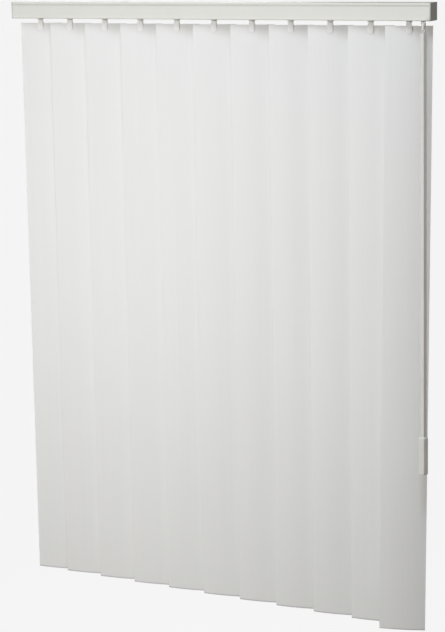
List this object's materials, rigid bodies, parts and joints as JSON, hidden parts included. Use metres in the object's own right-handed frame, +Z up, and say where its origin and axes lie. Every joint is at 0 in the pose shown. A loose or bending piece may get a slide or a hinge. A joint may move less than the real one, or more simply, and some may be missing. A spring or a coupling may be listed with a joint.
{
  "type": "vertical blind",
  "caption": "White vertical blind: slotted headrail with wheeled carriers, curved hanging vanes that turn together and draw to one side, and a hanging control wand.",
  "frame": {"origin": "middle of the headrail's top face, which goes against the ceiling or into its clips", "axes": "+X along the headrail towards the wand, +Y away from the room towards the window, +Z up"},
  "size_m": [0.9274, 0.0754, 1.2242],
  "materials": {
    "rail": "off-white baked paint on an extruded channel, satin",
    "end_cap": "white moulded plastic, fine texture",
    "rod": "drawn fluted rod, dull",
    "carrier": "natural white moulded plastic",
    "worm": "natural white moulded plastic",
    "stem": "milky white moulded plastic",
    "vane": "white rigid vinyl sheet, smooth and matt",
    "wand": "white six-sided plastic rod, glossy",
    "wand_grip": "white plastic grip, glossy",
    "wand_fitting": "milky white moulded plastic"
  },
  "bodies": {
    "headrail": {"headrail": "rail", "end_cap_left": "end_cap", "end_cap_right": "end_cap", "carrier_01": "carrier"},
    "tilt_rod": {"tilt_rod": "rod"},
    "carrier_02": {"carrier_02": "carrier"},
    "carrier_03": {"carrier_03": "carrier"},
    "carrier_04": {"carrier_04": "carrier"},
    "carrier_05": {"carrier_05": "carrier"},
    "carrier_06": {"carrier_06": "carrier"},
    "carrier_07": {"carrier_07": "carrier"},
    "carrier_08": {"carrier_08": "carrier"},
    "carrier_09": {"carrier_09": "carrier"},
    "carrier_10": {"carrier_10": "carrier"},
    "lead_carrier": {"lead_carrier": "carrier"},
    "vane_01": {"stem_01": "stem", "vane_01": "vane"},
    "vane_02": {"stem_02": "stem", "vane_02": "vane"},
    "vane_03": {"stem_03": "stem", "vane_03": "vane"},
    "vane_04": {"stem_04": "stem", "vane_04": "vane"},
    "vane_05": {"stem_05": "stem", "vane_05": "vane"},
    "vane_06": {"stem_06": "stem", "vane_06": "vane"},
    "vane_07": {"stem_07": "stem", "vane_07": "vane"},
    "vane_08": {"stem_08": "stem", "vane_08": "vane"},
    "vane_09": {"stem_09": "stem", "vane_09": "vane"},
    "vane_10": {"stem_10": "stem", "vane_10": "vane"},
    "lead_vane": {"stem_11": "stem", "vane_11": "vane"},
    "worm_01": {"worm_01": "worm"},
    "worm_02": {"worm_02": "worm"},
    "worm_03": {"worm_03": "worm"},
    "worm_04": {"worm_04": "worm"},
    "worm_05": {"worm_05": "worm"},
    "worm_06": {"worm_06": "worm"},
    "worm_07": {"worm_07": "worm"},
    "worm_08": {"worm_08": "worm"},
    "worm_09": {"worm_09": "worm"},
    "worm_10": {"worm_10": "worm"},
    "worm_11": {"worm_11": "worm"},
    "wand_drive": {"wand_drive": "wand_fitting"},
    "wand": {"wand_hook": "wand_fitting", "wand_shaft": "wand", "wand_grip": "wand_grip"}
  },
  "joints": [
    {"name": "traverse_02", "type": "slide", "parent": "headrail", "child": "carrier_02", "axis": [-1, 0, 0], "range_m": [0, 0.0525]},
    {"name": "traverse_03", "type": "slide", "parent": "headrail", "child": "carrier_03", "axis": [-1, 0, 0], "range_m": [0, 0.117]},
    {"name": "traverse_04", "type": "slide", "parent": "headrail", "child": "carrier_04", "axis": [-1, 0, 0], "range_m": [0, 0.1815]},
    {"name": "traverse_05", "type": "slide", "parent": "headrail", "child": "carrier_05", "axis": [-1, 0, 0], "range_m": [0, 0.246]},
    {"name": "traverse_06", "type": "slide", "parent": "headrail", "child": "carrier_06", "axis": [-1, 0, 0], "range_m": [0, 0.3105]},
    {"name": "traverse_07", "type": "slide", "parent": "headrail", "child": "carrier_07", "axis": [-1, 0, 0], "range_m": [0, 0.375]},
    {"name": "traverse_08", "type": "slide", "parent": "headrail", "child": "carrier_08", "axis": [-1, 0, 0], "range_m": [0, 0.4395]},
    {"name": "traverse_09", "type": "slide", "parent": "headrail", "child": "carrier_09", "axis": [-1, 0, 0], "range_m": [0, 0.504]},
    {"name": "traverse_10", "type": "slide", "parent": "headrail", "child": "carrier_10", "axis": [-1, 0, 0], "range_m": [0, 0.5685]},
    {"name": "traverse", "type": "slide", "parent": "headrail", "child": "lead_carrier", "axis": [-1, 0, 0], "range_m": [0, 0.6095]},
    {"name": "tilt_01", "type": "hinge", "parent": "headrail", "child": "vane_01", "pos_m": [-0.401, 0, -0.04], "axis": [0, 0, 1], "range_deg": [0, 150]},
    {"name": "tilt_02", "type": "hinge", "parent": "carrier_02", "child": "vane_02", "pos_m": [-0.33, 0, -0.04], "axis": [0, 0, 1], "range_deg": [0, 150]},
    {"name": "tilt_03", "type": "hinge", "parent": "carrier_03", "child": "vane_03", "pos_m": [-0.247, 0, -0.04], "axis": [0, 0, 1], "range_deg": [0, 150]},
    {"name": "tilt_04", "type": "hinge", "parent": "carrier_04", "child": "vane_04", "pos_m": [-0.164, 0, -0.04], "axis": [0, 0, 1], "range_deg": [0, 150]},
    {"name": "tilt_05", "type": "hinge", "parent": "carrier_05", "child": "vane_05", "pos_m": [-0.081, 0, -0.04], "axis": [0, 0, 1], "range_deg": [0, 150]},
    {"name": "tilt_06", "type": "hinge", "parent": "carrier_06", "child": "vane_06", "pos_m": [0.002, 0, -0.04], "axis": [0, 0, 1], "range_deg": [0, 150]},
    {"name": "tilt_07", "type": "hinge", "parent": "carrier_07", "child": "vane_07", "pos_m": [0.085, 0, -0.04], "axis": [0, 0, 1], "range_deg": [0, 150]},
    {"name": "tilt_08", "type": "hinge", "parent": "carrier_08", "child": "vane_08", "pos_m": [0.168, 0, -0.04], "axis": [0, 0, 1], "range_deg": [0, 150]},
    {"name": "tilt_09", "type": "hinge", "parent": "carrier_09", "child": "vane_09", "pos_m": [0.251, 0, -0.04], "axis": [0, 0, 1], "range_deg": [0, 150]},
    {"name": "tilt_10", "type": "hinge", "parent": "carrier_10", "child": "vane_10", "pos_m": [0.334, 0, -0.04], "axis": [0, 0, 1], "range_deg": [0, 150]},
    {"name": "tilt", "type": "hinge", "parent": "lead_carrier", "child": "lead_vane", "pos_m": [0.411, 0, -0.04], "axis": [0, 0, 1], "range_deg": [0, 150]},
    {"name": "worm_turn_01", "type": "hinge", "parent": "headrail", "child": "worm_01", "pos_m": [-0.401, 0.0102, -0.0176], "axis": [1, 0, 0], "range_deg": [0, 1800]},
    {"name": "worm_turn_02", "type": "hinge", "parent": "carrier_02", "child": "worm_02", "pos_m": [-0.33, 0.0102, -0.0176], "axis": [1, 0, 0], "range_deg": [0, 1800]},
    {"name": "worm_turn_03", "type": "hinge", "parent": "carrier_03", "child": "worm_03", "pos_m": [-0.247, 0.0102, -0.0176], "axis": [1, 0, 0], "range_deg": [0, 1800]},
    {"name": "worm_turn_04", "type": "hinge", "parent": "carrier_04", "child": "worm_04", "pos_m": [-0.164, 0.0102, -0.0176], "axis": [1, 0, 0], "range_deg": [0, 1800]},
    {"name": "worm_turn_05", "type": "hinge", "parent": "carrier_05", "child": "worm_05", "pos_m": [-0.081, 0.0102, -0.0176], "axis": [1, 0, 0], "range_deg": [0, 1800]},
    {"name": "worm_turn_06", "type": "hinge", "parent": "carrier_06", "child": "worm_06", "pos_m": [0.002, 0.0102, -0.0176], "axis": [1, 0, 0], "range_deg": [0, 1800]},
    {"name": "worm_turn_07", "type": "hinge", "parent": "carrier_07", "child": "worm_07", "pos_m": [0.085, 0.0102, -0.0176], "axis": [1, 0, 0], "range_deg": [0, 1800]},
    {"name": "worm_turn_08", "type": "hinge", "parent": "carrier_08", "child": "worm_08", "pos_m": [0.168, 0.0102, -0.0176], "axis": [1, 0, 0], "range_deg": [0, 1800]},
    {"name": "worm_turn_09", "type": "hinge", "parent": "carrier_09", "child": "worm_09", "pos_m": [0.251, 0.0102, -0.0176], "axis": [1, 0, 0], "range_deg": [0, 1800]},
    {"name": "worm_turn_10", "type": "hinge", "parent": "carrier_10", "child": "worm_10", "pos_m": [0.334, 0.0102, -0.0176], "axis": [1, 0, 0], "range_deg": [0, 1800]},
    {"name": "worm_turn_11", "type": "hinge", "parent": "lead_carrier", "child": "worm_11", "pos_m": [0.411, 0.0102, -0.0176], "axis": [1, 0, 0], "range_deg": [0, 1800]},
    {"name": "rod_turn", "type": "hinge", "parent": "headrail", "child": "tilt_rod", "pos_m": [0, 0.0102, -0.0176], "axis": [1, 0, 0], "range_deg": [0, 1800]},
    {"name": "wand_turn", "type": "hinge", "parent": "lead_carrier", "child": "wand_drive", "pos_m": [0.45803, -0.04896, -0.0457], "axis": [0, 0, 1], "range_deg": [0, 1800]},
    {"name": "wand_swing", "type": "hinge", "parent": "wand_drive", "child": "wand", "pos_m": [0.45803, -0.04896, -0.0457], "axis": [-1, 0, 0], "range_deg": [0, 70]}
  ],
  "couplings": [
    {"joint": "traverse_02", "follows": "traverse", "ratio": 0.086136},
    {"joint": "traverse_03", "follows": "traverse", "ratio": 0.19196},
    {"joint": "traverse_04", "follows": "traverse", "ratio": 0.29779},
    {"joint": "traverse_05", "follows": "traverse", "ratio": 0.40361},
    {"joint": "traverse_06", "follows": "traverse", "ratio": 0.50943},
    {"joint": "traverse_07", "follows": "traverse", "ratio": 0.61526},
    {"joint": "traverse_08", "follows": "traverse", "ratio": 0.72108},
    {"joint": "traverse_09", "follows": "traverse", "ratio": 0.82691},
    {"joint": "traverse_10", "follows": "traverse", "ratio": 0.93273},
    {"joint": "tilt_01", "follows": "tilt", "ratio": 1},
    {"joint": "tilt_02", "follows": "tilt", "ratio": 1},
    {"joint": "tilt_03", "follows": "tilt", "ratio": 1},
    {"joint": "tilt_04", "follows": "tilt", "ratio": 1},
    {"joint": "tilt_05", "follows": "tilt", "ratio": 1},
    {"joint": "tilt_06", "follows": "tilt", "ratio": 1},
    {"joint": "tilt_07", "follows": "tilt", "ratio": 1},
    {"joint": "tilt_08", "follows": "tilt", "ratio": 1},
    {"joint": "tilt_09", "follows": "tilt", "ratio": 1},
    {"joint": "tilt_10", "follows": "tilt", "ratio": 1},
    {"joint": "worm_turn_01", "follows": "tilt", "ratio": 12},
    {"joint": "worm_turn_02", "follows": "tilt", "ratio": 12},
    {"joint": "worm_turn_03", "follows": "tilt", "ratio": 12},
    {"joint": "worm_turn_04", "follows": "tilt", "ratio": 12},
    {"joint": "worm_turn_05", "follows": "tilt", "ratio": 12},
    {"joint": "worm_turn_06", "follows": "tilt", "ratio": 12},
    {"joint": "worm_turn_07", "follows": "tilt", "ratio": 12},
    {"joint": "worm_turn_08", "follows": "tilt", "ratio": 12},
    {"joint": "worm_turn_09", "follows": "tilt", "ratio": 12},
    {"joint": "worm_turn_10", "follows": "tilt", "ratio": 12},
    {"joint": "worm_turn_11", "follows": "tilt", "ratio": 12},
    {"joint": "rod_turn", "follows": "tilt", "ratio": 12},
    {"joint": "wand_turn", "follows": "tilt", "ratio": 12}
  ]
}
